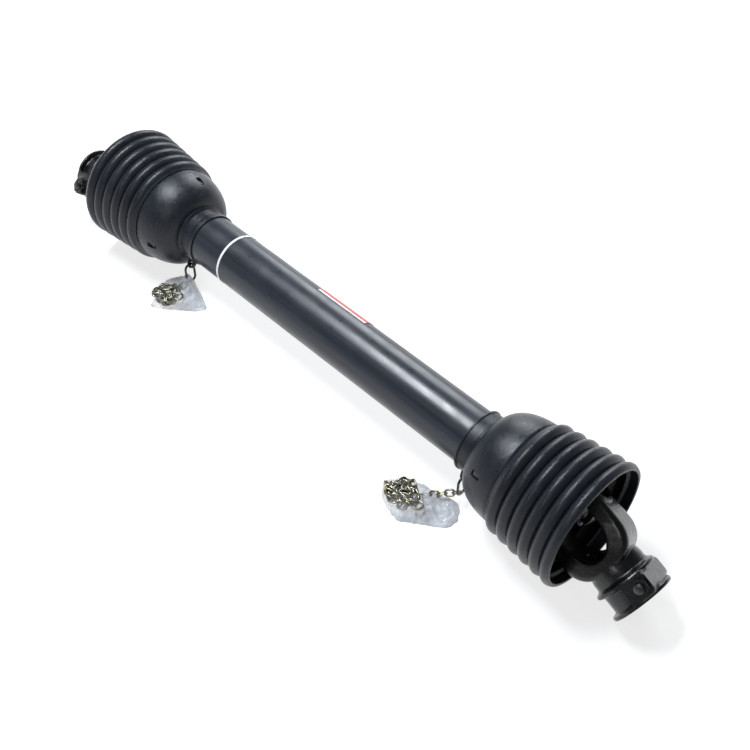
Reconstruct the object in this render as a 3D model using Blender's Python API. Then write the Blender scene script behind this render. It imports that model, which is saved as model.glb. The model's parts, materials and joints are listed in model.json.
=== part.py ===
"""Agricultural power take-off shaft: two universal joints on a telescopic profile-tube
drive, inside a black plastic safety guard with two ribbed bells. The shaft lies closed
on the floor, +X along it. Each end is modelled in its own frame, whose origin is the
centre of that universal joint and whose +X points outboard."""

import math

import bmesh
import bpy
from mathutils import Matrix, Vector

# Driving dimensions, in metres.
JOINT_SPAN = 0.746
GUARD_TUBE_RADIUS = 0.035
GUARD_WALL = 0.0024
RIM_RADIUS = 0.0805
CAP_RADIUS = 0.0135
CROSS_SPAN = 0.0746
SPLINE_MAJOR = 0.0175
SPLINE_MINOR = 0.0151
SPLINE_KEY = 0.0088
SPLINE_KEYS = 6
GAP = 0.0003

# The shaft axis, seen from the middle of the floor patch that the object covers.
GUARD_FACETS = 32
HUB_FACETS = 24
EAR_FACETS = 16
PIN_FACETS = 12
AXIS_HEIGHT = RIM_RADIUS * math.cos(math.pi / GUARD_FACETS)
AXIS_X = 0.00035
AXIS_Y = 0.01025

# Stations along each end, outboard of the joint centre.
RIM_EDGE = 0.035
RIM_PEAK = 0.0285
BELL_SEAM = -0.0627
DOME_END = -0.1145
COLLAR_END = -0.1335
BEARING_STATION = -0.089
BEARING_WIDTH = 0.009

# At rest the inner yokes' ears lie along one axis square to the shaft, and each outer
# yoke hangs as far down and aside as given, in its end's frame.
SHAFT_SPIN = math.radians(139.0)
FRONT_DROOP, FRONT_YAW = math.radians(21.9), math.radians(-3.4)
REAR_DROOP, REAR_YAW = math.radians(16.0), math.radians(3.0)
FRONT_SLOT_ANGLE = math.radians(33.0)
REAR_SLOT_ANGLE = math.radians(-2.0)

# Chain eye on each cone's collar, and the packed chain that hangs from it.
EYE_STATION = -0.1240
EYE_REACH = 0.0440
FRONT_EYE_ANGLE = math.radians(-128.0)
REAR_EYE_ANGLE = math.radians(-52.0)
HOOK_LENGTH = 0.0300
HOOK_BEND = 0.0070
LINK_WIRE = 0.0016
BAG_FILM = 0.0006
BAG_HEIGHT = 0.0200
MOUTH_RADIUS = 0.0135
FRONT_BAG = ((-0.206, -0.072), (-0.176, -0.050), (-0.122, -0.026), (-0.107, -0.062), (-0.157, -0.106))
REAR_BAG = ((-0.112, 0.020), (-0.086, 0.058), (-0.104, 0.094), (-0.168, 0.050), (-0.146, 0.022))
FRONT_HEAP = (-0.160, -0.076)
REAR_HEAP = (-0.120, 0.062)

# Forged yokes.
EAR_RADIUS = 0.0205
EAR_INNER = 0.0225
EAR_OUTER = 0.0405
YOKE_GAP_DEPTH = 0.052
YOKE_BASE = 0.077
HUB_RADIUS = 0.0315
HUB_END = 0.1210
HUB_FLANGE_RADIUS = 0.0378
HUB_FLANGE_WIDTH = 0.004
INNER_HUB_FLANGE = 0.0920
NECK_RADIUS = 0.0335
ROLL_PIN_STATION = 0.0790
NECK_END = 0.106
TRUNNION_RADIUS = 0.008

# Lock pin of the quick-release hub.
PIN_STATION = 0.1052
PIN_OFFSET = 0.0195
PIN_RADIUS = 0.006
PIN_BLOCK_TOP = 0.0365

# Profile tubes: a three-lobed section whose radius swings about its mean.
LOBE = 0.0019
OUTER_DRIVE_RADIUS = 0.0250
INNER_DRIVE_RADIUS = 0.0208
DRIVE_WALL = 0.0034
DRIVE_START = 0.0735
INNER_GUARD_RADIUS = 0.0318

PAINTS = {
    "guard_plastic": ((0.020, 0.022, 0.025), 0.62, 0.0),
    "tube_plastic": ((0.012, 0.013, 0.016), 0.30, 0.0),
    "black_enamel": ((0.008, 0.008, 0.009), 0.22, 0.1),
    "bearing_steel": ((0.42, 0.42, 0.43), 0.34, 1.0),
    "tube_steel": ((0.30, 0.30, 0.31), 0.45, 1.0),
    "nylon": ((0.62, 0.60, 0.54), 0.50, 0.0),
    "white_band": ((0.80, 0.81, 0.82), 0.45, 0.0),
    "label_film": ((0.72, 0.10, 0.08), 0.40, 0.0),
    "chain_zinc": ((0.62, 0.55, 0.38), 0.38, 1.0),
    "bag_film": ((0.78, 0.80, 0.82), 0.30, 0.0),
}


# ---------------------------------------------------------------- scene helpers

def clear_scene():
    for thing in list(bpy.data.objects):
        bpy.data.objects.remove(thing, do_unlink=True)


def paint(name):
    made = bpy.data.materials.get(name)
    if made:
        return made
    colour, roughness, metallic = PAINTS[name]
    made = bpy.data.materials.new(name)
    made.use_nodes = True
    shader = made.node_tree.nodes["Principled BSDF"]
    shader.inputs["Base Color"].default_value = (*colour, 1.0)
    shader.inputs["Roughness"].default_value = roughness
    shader.inputs["Metallic"].default_value = metallic
    made.diffuse_color = (*colour, 1.0)
    return made


def empty(name, parent=None, matrix=None):
    made = bpy.data.objects.new(name, None)
    made.empty_display_size = 0.03
    bpy.context.collection.objects.link(made)
    made.parent = parent
    made.matrix_local = matrix or Matrix.Identity(4)
    return made


def finish_mesh(name, bm, material, parent, smooth=35.0):
    bmesh.ops.remove_doubles(bm, verts=bm.verts, dist=1e-7)
    bmesh.ops.recalc_face_normals(bm, faces=bm.faces)
    mesh = bpy.data.meshes.new(name)
    bm.to_mesh(mesh)
    bm.free()
    mesh.shade_smooth()
    mesh.set_sharp_from_angle(angle=math.radians(smooth))
    made = bpy.data.objects.new(name, mesh)
    bpy.context.collection.objects.link(made)
    made.parent = parent
    if material:
        mesh.materials.append(paint(material))
    return made


def cutter(made):
    made.hide_render = True
    made.display_type = "WIRE"
    return made


def boolean(target, tool, operation):
    step = target.modifiers.new(f"{operation.lower()}_{tool.name}", "BOOLEAN")
    step.operation = operation
    step.object = cutter(tool)


def frame_from_axes(x_axis, y_axis, origin=(0, 0, 0)):
    x = Vector(x_axis).normalized()
    y = Vector(y_axis).normalized()
    made = Matrix((x, y, x.cross(y))).transposed().to_4x4()
    made.translation = Vector(origin)
    return made


# ---------------------------------------------------------------- shape helpers

def turned(name, profile, facets, material=None, parent=None):
    """Solid of revolution about local X: profile points are (x, radius). A facet faces
    straight down."""
    bm = bmesh.new()
    start = Matrix.Rotation(math.pi / facets, 4, "X")
    points = [bm.verts.new(start @ Vector((x, 0.0, radius))) for x, radius in profile]
    edges = [bm.edges.new(pair) for pair in zip(points, points[1:])]
    if min(radius for _, radius in profile) > 0:
        edges.append(bm.edges.new((points[-1], points[0])))
    bmesh.ops.spin(
        bm, geom=points + edges, axis=(1, 0, 0), cent=(0, 0, 0),
        angle=2 * math.pi, steps=facets, use_merge=True,
    )
    return finish_mesh(name, bm, material, parent)


def prism(name, outline, low, high, axis, material=None, parent=None):
    """Extrudes an outline of (a, b) pairs from low to high along the named local axis:
    along X the pairs are (y, z), along Y (z, x), along Z (x, y)."""
    turn = {"X": 1, "Y": 2, "Z": 0}[axis]
    bm = bmesh.new()
    ends = []
    for level in (low, high):
        ring = []
        for a, b in outline:
            spot = [a, b, level]
            ring.append(bm.verts.new(spot[-turn:] + spot[:-turn] if turn else spot))
        ends.append(ring)
    bm.faces.new(ends[0][::-1])
    bm.faces.new(ends[1])
    for i in range(len(outline)):
        j = (i + 1) % len(outline)
        bm.faces.new((ends[0][i], ends[0][j], ends[1][j], ends[1][i]))
    return finish_mesh(name, bm, material, parent)


def arc(centre, radius, first, last, steps):
    """Points on an arc, with the angles in degrees."""
    spots = []
    for i in range(steps + 1):
        angle = math.radians(first + (last - first) * i / steps)
        spots.append((centre[0] + radius * math.cos(angle), centre[1] + radius * math.sin(angle)))
    return spots


def circle(radius, facets, centre=(0.0, 0.0)):
    return arc(centre, radius, 0, 360 - 360 / facets, facets - 1)


def rounded_box(width, height, radius, steps=2, centre=(0.0, 0.0)):
    a, b = width / 2 - radius, height / 2 - radius
    spots = []
    for corner, first in (((a, b), 0), ((-a, b), 90), ((-a, -b), 180), ((a, -b), 270)):
        middle = (corner[0] + centre[0], corner[1] + centre[1])
        spots += arc(middle, radius, first, first + 90, steps)
    return spots


def spline_outline():
    """Bore of the six-key splined hub, grown outwards at each key."""
    spots = []
    half_key = SPLINE_KEY / 2
    for key in range(SPLINE_KEYS):
        middle = 360.0 * key / SPLINE_KEYS
        tip = math.degrees(math.asin(half_key / SPLINE_MAJOR))
        foot = math.degrees(math.asin(half_key / SPLINE_MINOR))
        spots += arc((0, 0), SPLINE_MINOR, middle - foot, middle - foot, 1)[:1]
        spots += arc((0, 0), SPLINE_MAJOR, middle - tip, middle + tip, 2)
        spots += arc((0, 0), SPLINE_MINOR, middle + foot, middle + foot, 1)[:1]
    return spots


def lobed(mean, facets=30):
    """Three-lobed tube section."""
    spots = []
    for i in range(facets):
        angle = 2 * math.pi * i / facets
        radius = mean + LOBE * math.cos(3 * angle)
        spots.append((radius * math.cos(angle), radius * math.sin(angle)))
    return spots


def loft(name, rings, material=None, parent=None):
    """Closed solid through rings of equally many points, with a flat cap at each end."""
    bm = bmesh.new()
    loops = [[bm.verts.new(spot) for spot in ring] for ring in rings]
    for first, second in zip(loops, loops[1:]):
        for i in range(len(first)):
            j = (i + 1) % len(first)
            bm.faces.new((first[i], first[j], second[j], second[i]))
    bm.faces.new(loops[0][::-1])
    bm.faces.new(loops[-1])
    return finish_mesh(name, bm, material, parent)


# ---------------------------------------------------------------- guard

def bell_profile():
    """Ribbed bell: the crests grow towards the rim, whose land is what rests on the
    floor, and a smooth inner skin flares with them."""
    ribs, valley_depth = 6, 0.0048
    first_peak, first_radius = -0.0531, 0.0728
    pitch = (RIM_PEAK - first_peak) / (ribs - 1)
    grow = (RIM_RADIUS - first_radius) / (ribs - 1)
    outer = [(BELL_SEAM, 0.0668), (BELL_SEAM + 0.0035, 0.0690)]
    for rib in range(ribs - 1):
        peak = first_peak + pitch * rib
        radius = first_radius + grow * rib
        outer += [
            (peak - 0.0035, radius - 0.0006),
            (peak + 0.0035, radius),
            (peak + 0.5 * pitch + 0.0004, radius - valley_depth),
        ]
    outer += [
        (RIM_PEAK - 0.0035, RIM_RADIUS),
        (RIM_PEAK + 0.0025, RIM_RADIUS),
        (RIM_EDGE, RIM_RADIUS - 0.0030),
    ]
    inner = [
        (RIM_EDGE - 0.0005, RIM_RADIUS - 0.0055),
        (RIM_PEAK - 0.0050, 0.0735),
        (-0.0100, 0.0700),
        (-0.0450, 0.0652),
        (BELL_SEAM, 0.0640),
    ]
    return outer + inner


def guard_dome(side, parent, slot_angle, tube_radius, eye_angle):
    """The cone's skin, its spigot under the bell and its socket round the guard tube,
    with three windows for the bearing ring's lugs. A bead rings the foot of the socket."""
    small = tube_radius + 0.0030
    tube_clearance = tube_radius + GAP
    large, wall = 0.0665, 0.0030
    length = BELL_SEAM - DOME_END
    shoulder = []
    for degrees in (0, 22, 44, 64, 84):
        angle = math.radians(degrees)
        shoulder.append((BELL_SEAM - length * math.sin(angle), small + (large - small) * math.cos(angle)))
    spigot_end = -0.0480
    outer = [(spigot_end, 0.0612), (BELL_SEAM - GAP, 0.0630)]
    outer += [(x - GAP, radius) for x, radius in shoulder]
    outer += [(DOME_END - 0.0012, small + 0.0030), (DOME_END - 0.0040, small)]
    outer += [(COLLAR_END, small)]
    inner = [(COLLAR_END, tube_clearance), (DOME_END - 0.0010, tube_clearance)]
    for degrees in (66, 40, 14):
        angle = math.radians(degrees)
        inner.append((
            BELL_SEAM - (length - wall) * math.sin(angle),
            tube_clearance + (large - wall - tube_clearance) * math.cos(angle),
        ))
    inner.append((BELL_SEAM + 0.0030, 0.0590))
    inner.append((spigot_end, 0.0585))
    dome = turned(f"{side}_guard_dome", outer + inner, GUARD_FACETS, "guard_plastic", parent)
    for lug in range(3):
        window = prism(
            f"{side}_window_{lug}", rounded_box(0.0125, 0.0080, 0.0015, 1), 0.050, 0.075, "Z",
        )
        window.parent = parent
        turn = Matrix.Rotation(slot_angle + lug * math.tau / 3 - math.pi / 2, 4, "X")
        window.matrix_local = Matrix.Translation((BEARING_STATION, 0, 0)) @ turn
        boolean(dome, window, "DIFFERENCE")
    foot = small - 0.0012
    eye = prism(f"{side}_chain_eye", arc((EYE_REACH, 0), 0.0060, -90, 90, 6) + [(foot, 0.0075), (foot, -0.0075)],
                -0.0020, 0.0020, "Z")
    hole = prism(f"{side}_eye_hole", circle(0.0033, 10, (EYE_REACH, 0)), -0.004, 0.004, "Z")
    for tool, operation in ((eye, "UNION"), (hole, "DIFFERENCE")):
        tool.parent = parent
        tool.matrix_local = eye_frame(eye_angle)
        boolean(dome, tool, operation)
    return dome


def eye_frame(angle):
    """Frame of the chain eye: local X points out from the shaft axis."""
    out = (0, math.cos(angle), math.sin(angle))
    return frame_from_axes(out, (1, 0, 0), (EYE_STATION, 0, 0))


def bearing_ring(side, parent, slot_angle):
    """Nylon ring that runs in the inner yoke's groove; its lugs snap into the windows."""
    half = BEARING_WIDTH / 2
    groove = NECK_RADIUS - 0.0030
    profile = [
        (BEARING_STATION - half, groove + GAP), (BEARING_STATION - half, 0.0400),
        (BEARING_STATION - 0.0022, 0.0425), (BEARING_STATION - 0.0022, 0.0520),
        (BEARING_STATION + 0.0022, 0.0520), (BEARING_STATION + 0.0022, 0.0425),
        (BEARING_STATION + half, 0.0400), (BEARING_STATION + half, groove + GAP),
    ]
    ring = turned(f"{side}_bearing_ring", profile, HUB_FACETS, "nylon", parent)
    for lug in range(3):
        block = prism(f"{side}_lug_{lug}", rounded_box(0.0090, 0.0060, 0.0010, 1), 0.0505, 0.0600, "Z")
        block.parent = parent
        turn = Matrix.Rotation(slot_angle + lug * math.tau / 3 - math.pi / 2, 4, "X")
        block.matrix_local = Matrix.Translation((BEARING_STATION, 0, 0)) @ turn
        boolean(ring, block, "UNION")
    return ring


def pipe(name, radius, wall, start, end, material, parent, facets=GUARD_FACETS):
    profile = [(start, radius), (end, radius), (end, radius - wall), (start, radius - wall)]
    return turned(name, profile, facets, material, parent)


def tube_label(parent):
    """Blank film label on the upper far side of the tube."""
    inside = GUARD_TUBE_RADIUS + GAP
    outline = arc((0, 0), inside, 5, 63, 10) + arc((0, 0), inside + 0.0003, 63, 5, 10)
    middle = -JOINT_SPAN / 2
    return prism("tube_label", outline, middle - 0.041, middle + 0.041, "X", "label_film", parent)


# ---------------------------------------------------------------- universal joint

def yoke_section(inner, outer, half_width):
    """Ring of ten points between an inner and an outer point, rounded as forged:
    wide radii outside, tight ones inside."""
    inner, outer = Vector(inner), Vector(outer)
    across = (outer - inner).normalized()
    thick = (outer - inner).length
    wide = min(0.0060, 0.55 * half_width)
    tight = min(0.0025, 0.35 * half_width)
    ring = []
    corners = (
        (thick - wide, half_width - wide, wide, 0),
        (tight, half_width - tight, tight, 90),
        (tight, tight - half_width, tight, 180),
        (thick - wide, wide - half_width, wide, 270),
    )
    for depth, side, radius, first in corners:
        for a, z in arc((depth, side), radius, first, first + 90, 2 if radius == wide else 1):
            spot = inner + across * a
            ring.append(Vector((spot.x, spot.y, z)))
    return ring


def yoke_bow(name, material, parent):
    """The U of a yoke as a loft that follows it from ear tip to ear tip. Ears stand
    along Y, and the U opens towards -X."""
    half = []
    for degrees in (16, 40, 65, 90):
        x = -EAR_RADIUS * math.cos(math.radians(degrees))
        half.append(((x, EAR_INNER), (x, EAR_OUTER), EAR_RADIUS * math.sin(math.radians(degrees))))
    for degrees in (0, 20, 38, 56, 73, 90):
        turn = math.radians(degrees)
        inner = (0.026 + (YOKE_GAP_DEPTH - 0.026) * math.sin(turn), EAR_INNER * math.cos(turn) ** 0.8)
        outer = (0.043 + (YOKE_BASE - 0.043) * math.sin(turn), EAR_OUTER * math.cos(turn) ** 0.72)
        half.append((inner, outer, 0.0230 + 0.0065 * math.sin(turn)))
    rings = [yoke_section(*station) for station in half]
    for inner, outer, width in reversed(half[:-1]):
        rings.append(yoke_section((inner[0], -inner[1]), (outer[0], -outer[1]), width))
    return loft(name, rings, material, parent)


def ear_bores(side, yoke, kind, parent):
    """Bearing bores through both ears, each with its circlip groove and a low boss."""
    groove = CROSS_SPAN / 2 + 0.0003
    radius = CAP_RADIUS + GAP
    face = EAR_OUTER + 0.0014
    for sign, end in ((1, "a"), (-1, "b")):
        place = frame_from_axes((0, sign, 0), (0, 0, 1))
        boss = turned(
            f"{side}_{kind}_boss_{end}",
            [(0.0300, 0.0), (0.0300, 0.0190), (face, 0.0180), (face, 0.0)], EAR_FACETS,
        )
        bore = turned(
            f"{side}_{kind}_bore_{end}",
            [
                (0.0150, 0.0), (0.0150, radius), (groove, radius), (groove, radius + 0.0012),
                (groove + 0.0018, radius + 0.0012), (groove + 0.0018, radius),
                (face - 0.0008, radius), (face + 0.0010, radius + 0.0018), (face + 0.0010, 0.0),
            ], EAR_FACETS,
        )
        for tool, operation in ((boss, "UNION"), (bore, "DIFFERENCE")):
            tool.parent = parent
            tool.matrix_local = place
            boolean(yoke, tool, operation)


def outer_yoke(side, parent):
    """Forged outer yoke: bow, spool-shaped splined hub and the lock pin's block."""
    yoke = yoke_bow(f"{side}_outer_yoke", "black_enamel", parent)
    flange = HUB_FLANGE_WIDTH / 2
    inner = INNER_HUB_FLANGE
    outer = HUB_END - HUB_FLANGE_WIDTH
    profile = [
        (0.0620, 0.0), (0.0620, 0.0260), (0.0760, HUB_RADIUS), (inner - 0.0035, HUB_RADIUS - 0.0015),
        (inner - flange, HUB_FLANGE_RADIUS - 0.0010), (inner + flange, HUB_FLANGE_RADIUS - 0.0005),
        (inner + 0.0040, HUB_RADIUS), (outer - 0.0015, HUB_RADIUS), (outer, HUB_FLANGE_RADIUS - 0.0010),
        (HUB_END - 0.0012, HUB_FLANGE_RADIUS), (HUB_END, HUB_FLANGE_RADIUS - 0.0030), (HUB_END, 0.0),
    ]
    hub = turned(f"{side}_hub", profile, HUB_FACETS)
    hub.parent = parent
    boolean(yoke, hub, "UNION")
    block = prism(
        f"{side}_pin_block",
        rounded_box(0.0245, 0.0310, 0.0040, 2, (PIN_STATION, 0.0160)), -0.0300, PIN_BLOCK_TOP, "Z",
    )
    block.parent = parent
    boolean(yoke, block, "UNION")
    bore = prism(f"{side}_spline_bore", spline_outline(), 0.040, HUB_END + 0.002, "X")
    bore.parent = parent
    boolean(yoke, bore, "DIFFERENCE")
    mouth = turned(
        f"{side}_bore_mouth",
        [(HUB_END - 0.0030, 0.0), (HUB_END - 0.0030, SPLINE_MAJOR), (HUB_END + 0.0010, SPLINE_MAJOR + 0.0040),
         (HUB_END + 0.0010, 0.0)], HUB_FACETS,
    )
    mouth.parent = parent
    boolean(yoke, mouth, "DIFFERENCE")
    hole = turned(f"{side}_pin_hole", [
        (-0.0260, 0.0), (-0.0260, PIN_RADIUS + GAP), (PIN_BLOCK_TOP + 0.0020, PIN_RADIUS + GAP),
        (PIN_BLOCK_TOP + 0.0020, 0.0)], PIN_FACETS)
    hole.parent = parent
    hole.matrix_local = frame_from_axes((0, 0, 1), (1, 0, 0), (PIN_STATION, PIN_OFFSET, 0))
    boolean(yoke, hole, "DIFFERENCE")
    ear_bores(side, yoke, "outer", parent)
    return yoke


def lock_pin(side, parent):
    """Push pin with its waist: pressed in, the waist frees the splined bore."""
    top = PIN_BLOCK_TOP
    profile = [
        (-0.0165, 0.0), (-0.0165, PIN_RADIUS), (0.0030, PIN_RADIUS), (0.0045, 0.0040),
        (0.0120, 0.0040), (0.0135, PIN_RADIUS), (top + 0.0075, PIN_RADIUS),
        (top + 0.0085, 0.0050), (top + 0.0085, 0.0),
    ]
    pin = turned(f"{side}_lock_pin", profile, PIN_FACETS, "bearing_steel", parent)
    pin.matrix_local = frame_from_axes((0, 0, 1), (1, 0, 0), (PIN_STATION, PIN_OFFSET, 0))
    return pin


def pin_gland(side, parent):
    """Hexagonal gland round the pin's head, seated on the block."""
    low = PIN_BLOCK_TOP + GAP
    place = Matrix.Translation((PIN_STATION, PIN_OFFSET, 0))
    gland = prism(f"{side}_pin_gland", circle(0.0110, 6), low, low + 0.0050, "Z", "black_enamel", parent)
    gland.matrix_local = place
    hole = prism(f"{side}_gland_hole", circle(PIN_RADIUS + GAP, PIN_FACETS), low - 0.002, low + 0.008, "Z")
    hole.parent = parent
    hole.matrix_local = place
    boolean(gland, hole, "DIFFERENCE")
    return gland


def cross_body(side, parent):
    """Journal cross: a rounded hub with four ground trunnions, along Y and Z."""
    hub = prism(f"{side}_cross", rounded_box(0.0300, 0.0300, 0.0070, 2), -0.0110, 0.0110, "X",
                "bearing_steel", parent)
    reach = CROSS_SPAN / 2 - 0.0042
    for name, axis in (("y", (0, 1, 0)), ("z", (0, 0, 1))):
        profile = [
            (-reach, 0.0), (-reach, TRUNNION_RADIUS), (-0.0205, TRUNNION_RADIUS), (-0.0180, 0.0105),
            (0.0180, 0.0105), (0.0205, TRUNNION_RADIUS), (reach, TRUNNION_RADIUS), (reach, 0.0),
        ]
        arm = turned(f"{side}_trunnions_{name}", profile, PIN_FACETS)
        arm.parent = parent
        arm.matrix_local = frame_from_axes(axis, (1, 0, 0))
        boolean(hub, arm, "UNION")
    return hub


def side_frame(sign):
    """Turns local X onto the ear axis, towards +Y or -Y."""
    return frame_from_axes((0, sign, 0), (1, 0, 0))


def bearing_cup(name, parent, sign):
    """Needle cup over one trunnion, closed at its outer end."""
    end = CROSS_SPAN / 2 - GAP
    floor = end - 0.0035
    inside = TRUNNION_RADIUS + GAP
    cup = turned(
        name, [(0.0215, 0.0), (0.0215, CAP_RADIUS), (end, CAP_RADIUS), (end, 0.0)],
        EAR_FACETS, "bearing_steel", parent,
    )
    cup.matrix_local = side_frame(sign)
    hollow = turned(f"{name}_hollow", [(0.0200, 0.0), (0.0200, inside), (floor, inside), (floor, 0.0)], 16)
    hollow.parent = parent
    hollow.matrix_local = side_frame(sign)
    boolean(cup, hollow, "DIFFERENCE")
    return cup


def circlip(name, parent, sign):
    """Spring ring in the ear's groove, open at its two eyes."""
    low = CROSS_SPAN / 2 + 0.0005
    outline = arc((0, 0), CAP_RADIUS + 0.0008, 24, 336, 14)
    outline += arc((0, 0), CAP_RADIUS - 0.0030, 332, 28, 10)
    ring = prism(name, outline, low, low + 0.0013, "X", "bearing_steel", parent)
    ring.matrix_local = side_frame(sign)
    return ring


def grease_nipple(side, parent):
    """Grease nipple in the cross, between two trunnions, facing outboard."""
    profile = [
        (0.0113, 0.0), (0.0113, 0.0038), (0.0140, 0.0038), (0.0145, 0.0026), (0.0180, 0.0026),
        (0.0195, 0.0032), (0.0212, 0.0012), (0.0212, 0.0),
    ]
    return turned(f"{side}_grease_nipple", profile, 8, "bearing_steel", parent)


def inner_yoke(side, parent, tube_radius):
    """Forged inner yoke: bow, and a neck with the guard bearing's groove, the profile
    bore for the drive tube and the cross hole of the roll pin."""
    yoke = yoke_bow(f"{side}_inner_yoke", "black_enamel", parent)
    groove = NECK_RADIUS - 0.0030
    low = -BEARING_STATION - BEARING_WIDTH / 2 - GAP
    high = -BEARING_STATION + BEARING_WIDTH / 2 + GAP
    profile = [
        (0.0620, 0.0), (0.0620, 0.0260), (0.0760, NECK_RADIUS), (low, NECK_RADIUS), (low, groove),
        (high, groove), (high, NECK_RADIUS), (NECK_END - 0.0015, NECK_RADIUS),
        (NECK_END, NECK_RADIUS - 0.0015), (NECK_END, 0.0),
    ]
    neck = turned(f"{side}_neck", profile, HUB_FACETS)
    neck.parent = parent
    boolean(yoke, neck, "UNION")
    bore = prism(f"{side}_profile_bore", lobed(tube_radius + 0.0004), DRIVE_START - 0.0010,
                 NECK_END + 0.002, "X")
    bore.parent = parent
    boolean(yoke, bore, "DIFFERENCE")
    boolean(yoke, roll_pin_hole(f"{side}_inner_yoke", parent), "DIFFERENCE")
    ear_bores(side, yoke, "inner", parent)
    return yoke


def drive_tube(name, mean, end, yoke_pivot):
    """Profile tube in its inner yoke's neck, with the roll pin's cross hole."""
    tube = prism(name, lobed(mean), DRIVE_START, end, "X", "tube_steel", yoke_pivot)
    core = prism(f"{name}_core", lobed(mean - DRIVE_WALL), DRIVE_START - 0.01, end + 0.01, "X")
    core.parent = yoke_pivot
    boolean(tube, core, "DIFFERENCE")
    boolean(tube, roll_pin_hole(name, yoke_pivot), "DIFFERENCE")
    return tube


def roll_pin_hole(name, parent):
    hole = turned(f"{name}_pin_hole", [(-0.05, 0.0), (-0.05, 0.0043), (0.05, 0.0043), (0.05, 0.0)], PIN_FACETS)
    hole.parent = parent
    hole.matrix_local = frame_from_axes((0, 1, 0), (0, 0, 1), (ROLL_PIN_STATION, 0, 0))
    return hole


def roll_pin(side, parent):
    """Slotted spring pin through the neck and the tube."""
    reach = NECK_RADIUS - 0.0010
    outline = arc((0, 0), 0.0040, 20, 340, 10) + arc((0, 0), 0.0026, 340, 20, 8)
    pin = prism(f"{side}_roll_pin", outline, -reach, reach, "X", "bearing_steel", parent)
    pin.matrix_local = frame_from_axes((0, 1, 0), (0, 0, 1), (ROLL_PIN_STATION, 0, 0))
    return pin


def universal_joint(side, end_frame, droop, yaw, ear_axis, tube_radius):
    """Outer yoke, cross and inner yoke, hung as they rest. The inner yoke's ears lie
    along ear_axis. Returns the inner yoke's pivot, which the drive tube shares."""
    outboard = Matrix.Rotation(yaw, 3, "Z") @ Matrix.Rotation(droop, 3, "Y") @ Vector((1, 0, 0))
    outer_axis = ear_axis.cross(outboard).normalized()
    yoke_pivot = empty(f"{side}_yoke_pivot", end_frame, frame_from_axes(outboard, outer_axis))
    cross_pivot = empty(
        f"{side}_cross_pivot", end_frame, frame_from_axes(outer_axis.cross(ear_axis), outer_axis),
    )
    shaft_pivot = empty(f"{side}_shaft_pivot", end_frame, frame_from_axes((-1, 0, 0), ear_axis))
    outer_yoke(side, yoke_pivot)
    lock_pin(side, yoke_pivot)
    pin_gland(side, yoke_pivot)
    cross_body(side, cross_pivot)
    grease_nipple(side, cross_pivot)
    inner_yoke(side, shaft_pivot, tube_radius)
    roll_pin(side, shaft_pivot)
    for kind, pivot in (("outer", yoke_pivot), ("inner", shaft_pivot)):
        for sign, end in ((1, "a"), (-1, "b")):
            bearing_cup(f"{side}_{kind}_cup_{end}", pivot, sign)
            circlip(f"{side}_{kind}_circlip_{end}", pivot, sign)
    return shaft_pivot


# ---------------------------------------------------------------- safety chains

def tube_along(name, points, radius, material, parent, closed=False, sides=1):
    """Round bar along a polyline, as a bevelled curve."""
    curve = bpy.data.curves.new(name, "CURVE")
    curve.dimensions = "3D"
    curve.bevel_depth = radius
    curve.bevel_resolution = sides
    curve.use_fill_caps = not closed
    line = curve.splines.new("POLY")
    line.points.add(len(points) - 1)
    for spot, target in zip(points, line.points):
        target.co = (*spot, 1.0)
    line.use_cyclic_u = closed
    made = bpy.data.objects.new(name, curve)
    bpy.context.collection.objects.link(made)
    made.parent = parent
    curve.materials.append(paint(material))
    return made


def stadium(length, width, steps=6):
    """Long round-ended loop in (a, b), centred."""
    reach = length / 2 - width / 2
    return (
        arc((reach, 0), width / 2, -90, 90, steps) + arc((-reach, 0), width / 2, 90, 270, steps)
    )


def patch_ring(corners, inset, height, steps=3):
    """Rounded outline through the corners of a patch on the floor, drawn in by inset."""
    middle = sum((Vector(corner) for corner in corners), Vector((0, 0))) / len(corners)
    ring = []
    count = len(corners)
    for i in range(count):
        here = Vector(corners[i])
        before, after = Vector(corners[i - 1]), Vector(corners[(i + 1) % count])
        for step in range(steps + 1):
            part = step / steps
            near = here.lerp(before, 0.16 * (1 - part)) if part < 1 else here
            spot = near.lerp(after, 0.16 * part)
            draw = (middle - spot)
            spot = spot + draw.normalized() * min(inset, 0.8 * draw.length)
            ring.append(Vector((spot.x, spot.y, height)))
    return ring


def hook_ring(side, parent, eye_angle):
    """Black closed link through the chain eye, hanging straight down."""
    out = Vector((0, math.cos(eye_angle), math.sin(eye_angle)))
    top = Vector((EYE_STATION, 0, 0)) + out * (EYE_REACH + HOOK_BEND)
    drop = HOOK_LENGTH / 2 - HOOK_BEND
    loop = [top + Vector((0, across, along - drop)) for along, across in stadium(HOOK_LENGTH, 2 * HOOK_BEND)]
    tube_along(f"{side}_chain_hook", loop, LINK_WIRE, "black_enamel", parent, closed=True)
    return top - Vector((0, 0, HOOK_LENGTH - HOOK_BEND))


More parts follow.
